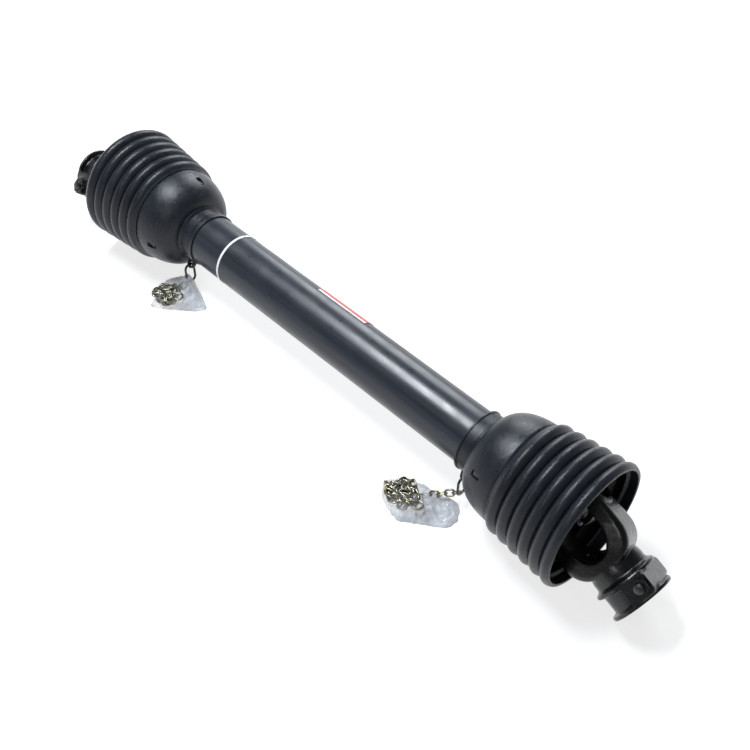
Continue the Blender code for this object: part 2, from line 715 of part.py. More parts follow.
def safety_chain(side, parent, start, heap_at, floor):
    """Envelope of the packed chain: a strand from the hook down to the floor, which
    swells into the heap."""
    stop = Vector((*heap_at, 0.0))
    run = Vector((stop.x - start.x, stop.y - start.y, 0.0))
    reach, heading = run.length, run.normalized()
    side_way = Vector((0, 0, 1)).cross(heading)
    low = floor + BAG_FILM + 2 * GAP
    rings = []
    # Share of the run from hook to heap centre, height of the belly, half width, height.
    for share, lift, half, tall in (
        (0.00, start.z - low, 0.0035, 0.0060), (0.10, 0.55 * (start.z - low), 0.0040, 0.0065),
        (0.24, 0.0045, 0.0045, 0.0070), (0.45, 0.0, 0.0060, 0.0075), (0.66, 0.0, 0.0130, 0.0105),
        (0.86, 0.0, 0.0180, 0.0150), (1.10, 0.0, 0.0170, 0.0145), (1.30, 0.0, 0.0110, 0.0090),
    ):
        middle = Vector((start.x, start.y, low + lift + tall / 2)) + heading * reach * share
        rings.append([
            middle + side_way * half * a + Vector((0, 0, tall / 2 * b)) for a, b in circle(1.0, 12)
        ])
    return loft(f"{side}_safety_chain", rings, "chain_zinc", parent)


def chain_bag(side, corners, mouth_at, parent, floor):
    """Film bag round the heap, lying on the floor, with its mouth below the hook."""
    bag = loft(f"{side}_chain_bag", [
        patch_ring(corners, 0.0040, floor), patch_ring(corners, 0.0, floor + 0.0040),
        patch_ring(corners, 0.0030, floor + 0.0120), patch_ring(corners, 0.0100, floor + BAG_HEIGHT),
    ], "bag_film", parent)
    inside = loft(f"{side}_bag_inside", [
        patch_ring(corners, 0.0052, floor + BAG_FILM), patch_ring(corners, 0.0013, floor + 0.0044),
        patch_ring(corners, 0.0043, floor + 0.0116),
        patch_ring(corners, 0.0113, floor + BAG_HEIGHT - BAG_FILM),
    ])
    mouth = prism(f"{side}_bag_mouth", circle(MOUTH_RADIUS, 12, mouth_at), floor + 0.0020, floor + 0.06, "Z")
    for tool in (inside, mouth):
        tool.parent = parent
        boolean(bag, tool, "DIFFERENCE")
    return bag


def packed_chain(side, parent, eye_angle, corners, heap_at):
    """A safety chain as it is sold: hooked to the guard and heaped in its bag."""
    floor = GAP - AXIS_HEIGHT
    start = hook_ring(side, parent, eye_angle)
    start.z -= LINK_WIRE + 0.0070
    safety_chain(side, parent, start, heap_at, floor)
    chain_bag(side, corners, start.xy, parent, floor)


# ---------------------------------------------------------------- assembly

def front_half(root):
    end_frame = empty("front_end", root, Matrix.Translation((JOINT_SPAN / 2, 0, 0)))
    turned("front_bell", bell_profile(), GUARD_FACETS, "guard_plastic", end_frame)
    guard_dome("front", end_frame, FRONT_SLOT_ANGLE, GUARD_TUBE_RADIUS, FRONT_EYE_ANGLE)
    bearing_ring("front", end_frame, FRONT_SLOT_ANGLE)
    ear_axis = Vector((0, math.cos(SHAFT_SPIN), math.sin(SHAFT_SPIN)))
    shaft_pivot = universal_joint("front", end_frame, FRONT_DROOP, FRONT_YAW, ear_axis, OUTER_DRIVE_RADIUS)
    tube_end = -(JOINT_SPAN + COLLAR_END - 0.0010)
    pipe("outer_guard_tube", GUARD_TUBE_RADIUS, GUARD_WALL, tube_end, DOME_END + 0.0020, "tube_plastic",
         end_frame)
    pipe("tube_end_ring", GUARD_TUBE_RADIUS + 0.0020, 0.0020 - GAP, tube_end, tube_end + 0.0065,
         "guard_plastic", end_frame)
    band_place = -(JOINT_SPAN - 0.1940)
    pipe("marker_band", GUARD_TUBE_RADIUS + 0.0010, 0.0010 - GAP, band_place - 0.0018, band_place + 0.0018,
         "white_band", end_frame)
    drive_tube("outer_drive_tube", OUTER_DRIVE_RADIUS, JOINT_SPAN - 0.150, shaft_pivot)
    tube_label(end_frame)
    packed_chain("front", end_frame, FRONT_EYE_ANGLE, FRONT_BAG, FRONT_HEAP)


def rear_half(root):
    turned_round = Matrix.Rotation(math.pi, 4, "Z")
    end_frame = empty("rear_end", root, Matrix.Translation((-JOINT_SPAN / 2, 0, 0)) @ turned_round)
    turned("rear_bell", bell_profile(), GUARD_FACETS, "guard_plastic", end_frame)
    guard_dome("rear", end_frame, REAR_SLOT_ANGLE, INNER_GUARD_RADIUS, REAR_EYE_ANGLE)
    bearing_ring("rear", end_frame, REAR_SLOT_ANGLE)
    ear_axis = Vector((0, -math.cos(SHAFT_SPIN), math.sin(SHAFT_SPIN)))
    shaft_pivot = universal_joint("rear", end_frame, REAR_DROOP, REAR_YAW, ear_axis, INNER_DRIVE_RADIUS)
    pipe("inner_guard_tube", INNER_GUARD_RADIUS, 0.0022, -(JOINT_SPAN - 0.150), DOME_END + 0.0020,
         "tube_plastic", end_frame)
    drive_tube("inner_drive_tube", INNER_DRIVE_RADIUS, JOINT_SPAN - 0.150, shaft_pivot)
    packed_chain("rear", end_frame, REAR_EYE_ANGLE, REAR_BAG, REAR_HEAP)


def main():
    clear_scene()
    root = empty("shaft_axis", None, Matrix.Translation((AXIS_X, AXIS_Y, AXIS_HEIGHT)))
    front_half(root)
    rear_half(root)


main()
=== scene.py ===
"""Looks of the universal joint shaft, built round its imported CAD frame."""
import json
import math
import random

import bpy
import bmesh
from mathutils import Matrix, Vector, noise


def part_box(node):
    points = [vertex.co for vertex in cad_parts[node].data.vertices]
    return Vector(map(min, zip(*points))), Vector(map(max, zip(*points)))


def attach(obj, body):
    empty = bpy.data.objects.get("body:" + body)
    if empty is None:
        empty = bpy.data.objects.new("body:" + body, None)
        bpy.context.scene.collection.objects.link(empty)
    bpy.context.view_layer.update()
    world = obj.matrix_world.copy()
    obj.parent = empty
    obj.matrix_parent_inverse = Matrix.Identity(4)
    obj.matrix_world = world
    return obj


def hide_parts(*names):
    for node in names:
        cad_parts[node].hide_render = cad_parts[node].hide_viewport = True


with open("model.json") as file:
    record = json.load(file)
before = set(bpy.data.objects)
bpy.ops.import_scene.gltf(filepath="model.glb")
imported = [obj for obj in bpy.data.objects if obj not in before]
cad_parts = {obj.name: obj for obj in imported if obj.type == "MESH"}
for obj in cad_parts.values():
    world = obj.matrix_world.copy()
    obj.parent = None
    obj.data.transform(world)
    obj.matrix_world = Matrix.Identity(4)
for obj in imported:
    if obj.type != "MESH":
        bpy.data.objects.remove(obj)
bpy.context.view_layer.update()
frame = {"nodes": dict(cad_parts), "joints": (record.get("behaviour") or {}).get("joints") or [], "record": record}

JOINTS = {joint["name"]: joint for joint in frame["joints"]}
FLOOR_GAP = 0.0004


def linked(name, data):
    """A new object, in the scene."""
    made = bpy.data.objects.new(name, data)
    bpy.context.scene.collection.objects.link(made)
    return made


# ---------------------------------------------------------------- camera
def aim_camera():
    azimuth, elevation = math.radians(45.3), math.radians(48.6)
    look = Vector((
        -math.sin(azimuth) * math.cos(elevation),
        math.cos(azimuth) * math.cos(elevation),
        -math.sin(elevation),
    ))
    data = bpy.data.cameras.new("camera")
    data.lens = 53.86
    data.sensor_width = 36.0
    data.clip_start, data.clip_end = 0.05, 50.0
    camera = linked("camera", data)
    camera.location = (0.7170, -0.6245, 1.0818)
    camera.rotation_mode = "QUATERNION"
    camera.rotation_quaternion = look.to_track_quat("-Z", "Y")
    bpy.context.scene.camera = camera


aim_camera()


# ---------------------------------------------------------------- materials
class Nodes:
    """Short calls for building a shader's node tree."""

    def __init__(self, name, colour, roughness, metallic=0.0, **sockets):
        self.material = bpy.data.materials.new(name)
        self.material.use_nodes = True
        self.tree = self.material.node_tree
        self.shader = self.tree.nodes["Principled BSDF"]
        self.shader.inputs["Base Color"].default_value = (*colour, 1.0)
        self.shader.inputs["Roughness"].default_value = roughness
        self.shader.inputs["Metallic"].default_value = metallic
        for socket, value in sockets.items():
            self.shader.inputs[socket.replace("_", " ")].default_value = value
        self.place = self.node("ShaderNodeTexCoord").outputs["Object"]

    def node(self, kind, **settings):
        made = self.tree.nodes.new(kind)
        for key, value in settings.items():
            setattr(made, key, value)
        return made

    def join(self, source, target):
        self.tree.links.new(source, target)

    def stretched(self, scale):
        mapping = self.node("ShaderNodeMapping")
        mapping.inputs["Scale"].default_value = scale
        self.join(self.place, mapping.inputs["Vector"])
        return mapping.outputs["Vector"]

    def noise(self, scale, detail=4.0, roughness=0.5, place=None, distortion=0.0):
        made = self.node("ShaderNodeTexNoise")
        made.inputs["Scale"].default_value = scale
        made.inputs["Detail"].default_value = detail
        made.inputs["Roughness"].default_value = roughness
        made.inputs["Distortion"].default_value = distortion
        self.join(place or self.place, made.inputs["Vector"])
        return made.outputs["Fac"]

    def cells(self, scale, feature="F1", place=None):
        made = self.node("ShaderNodeTexVoronoi", feature=feature)
        made.inputs["Scale"].default_value = scale
        self.join(place or self.place, made.inputs["Vector"])
        return made.outputs["Distance"]

    def ramp(self, value, *stops):
        made = self.node("ShaderNodeValToRGB")
        band = made.color_ramp
        while len(band.elements) < len(stops):
            band.elements.new(0.5)
        for element, (at, colour) in zip(band.elements, stops):
            element.position = at
            element.color = (*colour, 1.0) if isinstance(colour, tuple) else (colour, colour, colour, 1.0)
        self.join(value, made.inputs["Fac"])
        return made.outputs["Color"]

    def span(self, value, low, high, to_low, to_high):
        made = self.node("ShaderNodeMapRange")
        limits = (("From Min", low), ("From Max", high), ("To Min", to_low), ("To Max", to_high))
        for socket, number in limits:
            made.inputs[socket].default_value = number
        self.join(value, made.inputs["Value"])
        return made.outputs["Result"]

    def math(self, operation, first, second):
        made = self.node("ShaderNodeMath", operation=operation)
        for socket, value in zip(made.inputs, (first, second)):
            if isinstance(value, (int, float)):
                socket.default_value = value
            else:
                self.join(value, socket)
        return made.outputs[0]

    def mix(self, share, first, second):
        made = self.node("ShaderNodeMix", data_type="RGBA")
        self.join(share, made.inputs["Factor"])
        for socket, value in ((made.inputs[6], first), (made.inputs[7], second)):
            if isinstance(value, tuple):
                socket.default_value = (*value, 1.0)
            else:
                self.join(value, socket)
        return made.outputs[2]

    def bump(self, height, strength, distance, before=None):
        made = self.node("ShaderNodeBump")
        made.inputs["Strength"].default_value = strength
        made.inputs["Distance"].default_value = distance
        self.join(height, made.inputs["Height"])
        if before:
            self.join(before, made.inputs["Normal"])
        return made.outputs["Normal"]

    def finish(self, colour=None, roughness=None, normal=None, alpha=None):
        given = (("Base Color", colour), ("Roughness", roughness), ("Normal", normal), ("Alpha", alpha))
        for name, value in given:
            if value is not None:
                self.join(value, self.shader.inputs[name])
        return self.material


def guard_plastic():
    """Grained moulded polyethylene with rubbed, dusty patches."""
    n = Nodes("guard_plastic", (0.020, 0.022, 0.025), 0.40, Specular_IOR_Level=0.30)
    blotches = n.noise(34.0, 5.0, 0.6)
    dark, plain, dusty = (0.0085, 0.0100, 0.0135), (0.0140, 0.0165, 0.0215), (0.026, 0.029, 0.035)
    colour = n.ramp(blotches, (0.30, dark), (0.62, plain), (0.80, dusty))
    rubbed = n.noise(260.0, 6.0, 0.7, n.stretched((1.0, 0.25, 0.25)), 0.6)
    scuffs = n.ramp(rubbed, (0.60, 0.0), (0.74, 1.0))
    colour = n.mix(n.math("MULTIPLY", scuffs, 0.35), colour, (0.075, 0.080, 0.086))
    roughness = n.span(n.noise(90.0, 4.0), 0.3, 0.7, 0.24, 0.36)
    grain = n.bump(n.noise(950.0, 2.0, 0.5), 0.70, 0.00040)
    pebble = n.bump(n.cells(900.0), 0.22, 0.00025, grain)
    return n.finish(colour, roughness, n.bump(n.noise(55.0, 2.0), 0.06, 0.0008, pebble))


def tube_plastic():
    """Extruded tube: satin gloss, faint die lines, and scuffs from handling."""
    n = Nodes("tube_plastic", (0.012, 0.013, 0.016), 0.30, Specular_IOR_Level=0.42)
    lengthwise = n.noise(60.0, 4.0, 0.6, n.stretched((0.10, 3.0, 3.0)))
    colour = n.ramp(lengthwise, (0.30, (0.0120, 0.0140, 0.0200)), (0.70, (0.0250, 0.0290, 0.0400)))
    marks = n.ramp(n.noise(150.0, 7.0, 0.72, n.stretched((0.5, 1.0, 1.0)), 1.2), (0.63, 0.0), (0.70, 1.0))
    colour = n.mix(n.math("MULTIPLY", marks, 0.30), colour, (0.085, 0.092, 0.105))
    scratches = n.ramp(n.noise(700.0, 3.0, 0.5, n.stretched((0.05, 1.0, 1.0))), (0.66, 0.0), (0.72, 1.0))
    roughness = n.span(n.noise(38.0, 5.0, 0.65), 0.25, 0.75, 0.24, 0.40)
    roughness = n.math("ADD", roughness, n.math("MULTIPLY", marks, 0.16))
    waves = n.bump(lengthwise, 0.10, 0.0010)
    return n.finish(colour, roughness, n.bump(scratches, 0.12, 0.00008, waves))


def black_enamel():
    """Thick gloss paint over a forged skin: it drowns the fine scale and keeps the lumps."""
    n = Nodes("black_enamel", (0.0040, 0.0040, 0.0048), 0.14, Coat_Weight=0.2, Coat_Roughness=0.06, IOR=1.5,
              Specular_IOR_Level=0.36)
    lumps = n.bump(n.noise(110.0, 5.0, 0.6), 0.42, 0.0016)
    scale = n.bump(n.noise(620.0, 3.0, 0.6), 0.62, 0.00060, lumps)
    cloud = n.noise(70.0, 5.0, 0.6)
    colour = n.ramp(cloud, (0.35, (0.0025, 0.0025, 0.0030)), (0.75, (0.0065, 0.0065, 0.0075)))
    chips = n.ramp(n.noise(420.0, 6.0, 0.7), (0.735, 0.0), (0.76, 1.0))
    colour = n.mix(n.math("MULTIPLY", chips, 0.7), colour, (0.11, 0.105, 0.10))
    return n.finish(colour, n.span(n.noise(60.0, 4.0), 0.3, 0.7, 0.09, 0.22), scale)


def bare_steel(name, colour, low, high, lines):
    """Ground or drawn steel with fine lines and oily patches."""
    n = Nodes(name, colour, 0.35, 1.0)
    patches = n.noise(110.0, 5.0, 0.6)
    dark = tuple(0.62 * c for c in colour)
    shade = n.ramp(patches, (0.32, dark), (0.66, colour))
    fine = n.noise(900.0, 3.0, 0.5, n.stretched(lines))
    return n.finish(shade, n.span(fine, 0.3, 0.7, low, high), n.bump(fine, 0.16, 0.00008))


def chain_zinc():
    """Yellow-passivated zinc plate, from brassy to silver."""
    n = Nodes("chain_zinc", (0.62, 0.53, 0.34), 0.3, 1.0)
    tint = n.noise(120.0, 3.0, 0.6)
    silver, olive, brass = (0.24, 0.24, 0.21), (0.26, 0.24, 0.17), (0.42, 0.31, 0.13)
    colour = n.ramp(tint, (0.34, silver), (0.56, olive), (0.74, brass))
    roughness = n.span(n.noise(600.0, 3.0), 0.3, 0.7, 0.20, 0.42)
    return n.finish(colour, roughness, n.bump(n.noise(1500.0, 2.0), 0.15, 0.0001))


def bag_film():
    """Thin clear film, milky where it creases; its grey tint and high cover are painted shade, standing in for the
    shaded floor seen through the bag.
    """
    n = Nodes("bag_film", (0.86, 0.88, 0.90), 0.16, IOR=1.46, Specular_IOR_Level=0.7)
    creases = n.noise(130.0, 6.0, 0.62, None, 1.4)
    bare = n.node("ShaderNodeAttribute", attribute_name="over_chain").outputs["Fac"]
    # Cover: crease milkiness on top of a high base level that is painted shade of the floor under the bag.
    cover = n.span(creases, 0.30, 0.75, 0.50, 0.84)
    alpha = n.math("SUBTRACT", cover, n.math("MULTIPLY", bare, 0.62))
    fine = n.noise(160.0, 3.0, 0.5, None, 0.8)
    normal = n.bump(fine, 0.35, 0.0010, n.bump(creases, 0.6, 0.0020))
    # Grey film colour: painted shade of the floor seen through the bag.
    colour = n.ramp(fine, (0.3, (0.44, 0.46, 0.50)), (0.7, (0.58, 0.60, 0.64)))
    return n.finish(colour, n.span(fine, 0.3, 0.7, 0.10, 0.30), normal, alpha)


def label_film(low, high, axis_y, axis_z):
    """Blank printed label: a red field over a white one, with worn print."""
    n = Nodes("label_film", (0.72, 0.10, 0.08), 0.34, IOR=1.5)
    parts = n.node("ShaderNodeSeparateXYZ")
    n.join(n.place, parts.inputs["Vector"])
    y = n.math("SUBTRACT", parts.outputs["Y"], axis_y)
    z = n.math("SUBTRACT", parts.outputs["Z"], axis_z)
    turn = n.math("ARCTAN2", z, y)
    above = n.math("GREATER_THAN", turn, math.radians(low + 6))
    field = n.math("MULTIPLY", above, n.math("LESS_THAN", turn, math.radians(high - 6)))
    print_wear = n.noise(300.0, 5.0, 0.6)
    red = n.ramp(print_wear, (0.35, (0.46, 0.018, 0.020)), (0.70, (0.60, 0.045, 0.040)))
    white = n.ramp(print_wear, (0.35, (0.66, 0.63, 0.62)), (0.70, (0.80, 0.79, 0.78)))
    roughness = n.span(print_wear, 0.3, 0.7, 0.26, 0.44)
    return n.finish(n.mix(field, white, red), roughness, n.bump(print_wear, 0.12, 0.0002))


def plain_plastic(name, dark, light, sheen):
    """Smooth moulded plastic with faint clouding."""
    n = Nodes(name, light, sheen, IOR=1.5)
    cloud = n.noise(80.0, 5.0, 0.6)
    fine = n.noise(1400.0, 3.0, 0.5)
    colour = n.ramp(cloud, (0.3, dark), (0.7, light))
    roughness = n.span(fine, 0.3, 0.7, sheen - 0.08, sheen + 0.08)
    return n.finish(colour, roughness, n.bump(fine, 0.15, 0.0001))


MATERIALS = {
    "guard_plastic": guard_plastic(),
    "tube_plastic": tube_plastic(),
    "black_enamel": black_enamel(),
    "bearing_steel": bare_steel("bearing_steel", (0.50, 0.50, 0.51), 0.22, 0.40, (1.0, 1.0, 4.0)),
    "tube_steel": bare_steel("tube_steel", (0.36, 0.35, 0.34), 0.28, 0.50, (0.06, 2.0, 2.0)),
    "pin_steel": bare_steel("pin_steel", (0.10, 0.10, 0.105), 0.25, 0.45, (1.0, 1.0, 4.0)),
    # Nylon ring: coloured near black as painted shade, for the dark slots of the dome it is seen through.
    "nylon": plain_plastic("nylon", (0.030, 0.030, 0.033), (0.055, 0.055, 0.058), 0.45),
    "white_band": plain_plastic("white_band", (0.66, 0.67, 0.69), (0.80, 0.81, 0.82), 0.42),
    "chain_zinc": chain_zinc(),
    "bag_film": bag_film(),
}


# ---------------------------------------------------------------- mesh helpers
def from_faces(name, points, faces, material, smooth=40.0):
    mesh = bpy.data.meshes.new(name)
    mesh.from_pydata([tuple(p) for p in points], [], faces)
    mesh.validate()
    made = linked(name, mesh)
    tidy(made, smooth)
    if material:
        mesh.materials.append(MATERIALS[material] if isinstance(material, str) else material)
    return made


def tidy(made, smooth=40.0):
    bm = bmesh.new()
    bm.from_mesh(made.data)
    bmesh.ops.remove_doubles(bm, verts=bm.verts, dist=1e-6)
    bmesh.ops.recalc_face_normals(bm, faces=bm.faces)
    bm.to_mesh(made.data)
    bm.free()
    made.data.shade_smooth()
    made.data.set_sharp_from_angle(angle=math.radians(smooth))


def revolve(name, profile, segments, material=None, closed=True, smooth=40.0):
    """Turned about local X: profile points are (x, radius), a closed loop or ending on the axis."""
    points, faces = [], []
    for step in range(segments):
        turn = 2 * math.pi * step / segments
        points += [(x, radius * math.cos(turn), radius * math.sin(turn)) for x, radius in profile]
    count = len(profile)
    for step in range(segments):
        after = (step + 1) % segments
        for i in range(count if closed else count - 1):
            j = (i + 1) % count
            faces.append((step * count + i, step * count + j, after * count + j, after * count + i))
    return from_faces(name, points, faces, material, smooth)


def extrude(name, outline, low, high, material=None, smooth=40.0):
    """Outline of (y, z) pairs drawn along local X from low to high."""
    count = len(outline)
    points = [(low, y, z) for y, z in outline] + [(high, y, z) for y, z in outline]
    faces = [tuple(range(count)), tuple(range(2 * count - 1, count - 1, -1))]
    faces += [(i, (i + 1) % count, count + (i + 1) % count, count + i) for i in range(count)]
    return from_faces(name, points, faces, material, smooth)


def loft(name, rings, material=None, smooth=40.0):
    count = len(rings[0])
    points = [spot for ring in rings for spot in ring]
    faces = [tuple(range(count)), tuple(reversed(range(len(points) - count, len(points))))]
    for row in range(len(rings) - 1):
        for i in range(count):
            j = (i + 1) % count
            faces.append((row * count + i, row * count + j, (row + 1) * count + j, (row + 1) * count + i))
    return from_faces(name, points, faces, material, smooth)


def bake(made):
    """Puts the modifiers' result in the mesh."""
    bpy.context.view_layer.update()
    graph = bpy.context.evaluated_depsgraph_get()
    mesh = bpy.data.meshes.new_from_object(made.evaluated_get(graph))
    made.modifiers.clear()
    made.data = mesh
    return made


def boolean(made, tools, operation="DIFFERENCE"):
    """Cuts or joins the tools, which are then removed."""
    for tool in tools:
        step = made.modifiers.new(tool.name, "BOOLEAN")
        step.operation = operation
        step.object = tool
    bake(made)
    for tool in tools:
        bpy.data.objects.remove(tool)
    return made


def arc(centre, radius, first, last, steps):
    """Points on an arc, angles in degrees."""
    spots = []
    for i in range(steps + 1):
        angle = math.radians(first + (last - first) * i / steps)
        spots.append((centre[0] + radius * math.cos(angle), centre[1] + radius * math.sin(angle)))
    return spots


def rounded_box(width, height, radius, steps=4, centre=(0.0, 0.0)):
    a, b = width / 2 - radius, height / 2 - radius
    spots = []
    for corner, first in (((a, b), 0), ((-a, b), 90), ((-a, -b), 180), ((a, -b), 270)):
        spots += arc((corner[0] + centre[0], corner[1] + centre[1]), radius, first, first + 90, steps)
    return spots


def axes_frame(x_axis, y_axis, origin=(0, 0, 0)):
    x, y = Vector(x_axis).normalized(), Vector(y_axis).normalized()
    made = Matrix((x, y, x.cross(y))).transposed().to_4x4()
    made.translation = Vector(origin)
    return made


def take(made):
    """The mesh of a working object, which is then removed."""
    mesh = made.data
    bpy.data.objects.remove(made)
    return mesh


def settle(made, place, body, slot, *nodes):
    """Puts a piece in its place for good, and on its body."""
    made.data.transform(place)
    if place.determinant() < 0:
        made.data.flip_normals()
    made.data.update()
    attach(made, body)
    if nodes:
        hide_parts(*nodes)
    return made


def sweep(name, path, radius, material, sides=10, closed=False):
    """Round bar along a polyline, as a mesh."""
    count = len(path)
    points, faces = [], []
    normal = None
    for i, spot in enumerate(path):
        before = path[i - 1] if closed or i else path[i]
        after = path[(i + 1) % count] if closed or i < count - 1 else path[i]
        along = (Vector(after) - Vector(before)).normalized()
        if normal is None:
            normal = along.orthogonal().normalized()
        normal = (normal - along * normal.dot(along)).normalized()
        side = along.cross(normal)
        size = radius(i / (count - 1)) if callable(radius) else radius
        for k in range(sides):
            turn = 2 * math.pi * k / sides
            points.append(Vector(spot) + (normal * math.cos(turn) + side * math.sin(turn)) * size)
    for i in range(count if closed else count - 1):
        j = (i + 1) % count
        shift = 0
        if closed and j == 0:
            first = points[0] - Vector(path[0])
            last = [spot - Vector(path[-1]) for spot in points[(count - 1) * sides:]]
            shift = min(range(sides), key=lambda k: (last[k] - first).length)
        for k in range(sides):
            a, b = i * sides + (k + shift) % sides, i * sides + (k + 1 + shift) % sides
            faces.append((a, b, j * sides + (k + 1) % sides, j * sides + k))
    if not closed:
        faces.append(tuple(range(sides))[::-1])
        faces.append(tuple(range((count - 1) * sides, count * sides)))
    return from_faces(name, points, faces, material, 60.0)


# ---------------------------------------------------------------- each end's frame
class End:
    """Where one end's joint, yoke and guard are, read from the record's joints."""

    def __init__(self, side):
        self.side = side
        self.sign = 1 if side == "front" else -1
        swing = JOINTS[f"{side}_cross_swing"]
        self.centre = Vector(swing["pos_m"])
        self.ear = Vector(swing["axis"])
        self.cross_ear = Vector(JOINTS[f"{side}_yoke_swing"]["axis"])
        pin = -Vector(JOINTS[f"{side}_pin_press"]["axis"])
        self.outboard = self.cross_ear.cross(pin)
        turn = Matrix.Identity(4) if side == "front" else Matrix.Rotation(math.pi, 4, "Z")
        self.guard = Matrix.Translation(self.centre) @ turn
        self.yoke = axes_frame(self.outboard, self.cross_ear, self.centre)
        self.cross = axes_frame(self.cross_ear.cross(self.ear), self.cross_ear, self.centre)
        self.shaft = axes_frame((-self.sign, 0, 0), self.ear, self.centre)
        self.eye = Vector(JOINTS[f"{side}_chain_swing"]["pos_m"])


ENDS = {side: End(side) for side in ("front", "rear")}
AXIS_HEIGHT = ENDS["front"].centre.z
RIM_RADIUS = AXIS_HEIGHT


# ---------------------------------------------------------------- guard
BELL_SEAM, RIM_EDGE, RIM_PEAK, FIRST_PEAK = -0.0627, 0.0350, 0.0285, -0.0531
DOME_END, COLLAR_END, BEARING_STATION = -0.1145, -0.1335, -0.0890
OUTER_TUBE, INNER_TUBE = 0.0350, 0.0318
RIBS = 6


def bell_outline():
    """Rounded ribs with narrow valleys; the inside follows them at wall thickness."""
    pitch = (RIM_PEAK - FIRST_PEAK) / (RIBS - 1)
    depth, wall, steps = 0.0062, 0.0018, 18
    first = 0.0726
    outer, inner = [(BELL_SEAM, 0.0664), (BELL_SEAM + 0.0012, 0.0674)], []
    for rib in range(RIBS):
        peak = FIRST_PEAK + pitch * rib
        radius = first + (RIM_RADIUS - first) * rib / (RIBS - 1)
        last = rib == RIBS - 1
        for i in range(steps + 1 if last else steps):
            t = 2 * i / steps - 1
            if last and t > 0:
                t *= 0.8
            swell = (1 - abs(t) ** 1.9) ** 0.72 if abs(t) < 1 else 0.0
            x = peak + t * pitch / 2
            if x < BELL_SEAM + 0.0016 or (last and x > RIM_EDGE - 0.0004):
                continue
            floor_radius = radius - depth + t * (RIM_RADIUS - first) / (RIBS - 1) / 2
            outer.append((x, floor_radius + (radius - floor_radius) * swell))
            skin = floor_radius - wall + (radius - floor_radius) * 0.75 * swell
            inner.append((x, skin))
    outer.append((RIM_EDGE - 0.0002, outer[-1][1] - 0.0012))
    lip = (RIM_EDGE, outer[-1][1] - 0.0014)
    inner = [(x, min(radius, 0.0748)) for x, radius in inner]
    inner = [spot for spot in inner if spot[0] < RIM_EDGE - 0.0012]
    return outer + [lip, (RIM_EDGE - 0.0006, lip[1] - 0.0012)] + inner[::-1] + [(BELL_SEAM, 0.0640)]


def bell(end):
    made = revolve(f"{end.side}_bell_skin", bell_outline(), 176, "guard_plastic")
    settle(made, end.guard, f"{end.side}_guard", "guard_plastic", f"{end.side}_bell")


def dome(end, slot_angle, tube_radius, eye_angle):
    """Smooth cone with three slots, a socket round its tube and an eye for the chain."""
    small, large, wall = tube_radius + 0.0030, 0.0662, 0.0030
    length = BELL_SEAM - DOME_END
    edge = BELL_SEAM - 0.0003
    outer = [(-0.0480, 0.0612), (edge, 0.0630), (edge, large - 0.0010)]
    for i in range(27):
        angle = math.radians(1.5 + 85 * i / 26)
        outer.append((edge - length * math.sin(angle), small + (large - small) * math.cos(angle) ** 0.92))
    outer += [
        (DOME_END - 0.0006, small + 0.0034), (DOME_END - 0.0016, small + 0.0034),
        (DOME_END - 0.0028, small + 0.0016), (DOME_END - 0.0042, small),
        (COLLAR_END + 0.0030, small), (COLLAR_END + 0.0024, small + 0.0013),
        (COLLAR_END + 0.0006, small + 0.0013), (COLLAR_END, small + 0.0006),
    ]
    bore = tube_radius + 0.0003
    inner = [(COLLAR_END, bore), (DOME_END - 0.0010, bore)]
    for i in range(16):
        angle = math.radians(76 - 72 * i / 15)
        radius = bore + (large - wall - bore) * math.cos(angle)
        inner.append((BELL_SEAM - (length - wall) * math.sin(angle), radius))
    inner += [(BELL_SEAM + 0.0030, 0.0590), (-0.0480, 0.0585)]
    made = revolve(f"{end.side}_cone_skin", outer + inner, 176, "guard_plastic")
    tools = []
    for lug in range(3):
        turn = Matrix.Rotation(slot_angle + lug * math.tau / 3 - math.pi / 2, 4, "X")
        window = extrude(f"window_{lug}", rounded_box(0.0080, 0.0125, 0.0018), 0.050, 0.075)
        outwards = turn @ axes_frame((0, 0, 1), (0, 1, 0))
        window.data.transform(Matrix.Translation((BEARING_STATION, 0, 0)) @ outwards)
        tools.append(window)
    boolean(made, tools)
    out = (0, math.cos(eye_angle), math.sin(eye_angle))
    reach = 0.0440
    place = Matrix.Translation((-0.1240, 0, 0)) @ axes_frame(Vector(out).cross(Vector((1, 0, 0))), out)
    foot = small - 0.0012
    tab = arc((reach, 0), 0.0060, -90, 90, 16) + [(foot, 0.0078), (foot, -0.0078)]
    plate = extrude("plate", tab, -0.0020, 0.0020)
    hole = extrude("hole", arc((reach, 0), 0.0033, 0, 345, 23), -0.004, 0.004)
    for tool in (plate, hole):
        tool.data.transform(place)
    boolean(made, [plate], "UNION")
    boolean(made, [hole])
    made.data.shade_smooth()
    made.data.set_sharp_from_angle(angle=math.radians(40))
    settle(made, end.guard, f"{end.side}_guard", "guard_plastic", f"{end.side}_guard_dome")


def pipe(name, low, high, radius, wall, material, body, node):
    """Tube with broken edges, on the shaft's axis."""
    inside, broken = radius - wall, 0.0004
    profile = [
        (low, radius - broken), (low + broken, radius), (high - broken, radius), (high, radius - broken),
        (high, inside), (low, inside),
    ]
    made = revolve(name, profile, 144, material)
    centre = ENDS["front"].centre
    settle(made, Matrix.Translation((0, centre.y, centre.z)), body, material, node)


def label():
    """Blank film label wrapped on the tube."""
    low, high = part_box("tube_label")
    radius = 0.0353
    first, last = 5, 63
    outline = arc((0, 0), radius, first, last, 40) + arc((0, 0), radius + 0.0003, last, first, 40)
    centre = ENDS["front"].centre
    film = label_film(first, last, centre.y, centre.z)
    made = extrude("label_skin", outline, low.x, high.x, film)
    settle(made, Matrix.Translation((0, centre.y, centre.z)), "front_guard", "label_film", "tube_label")


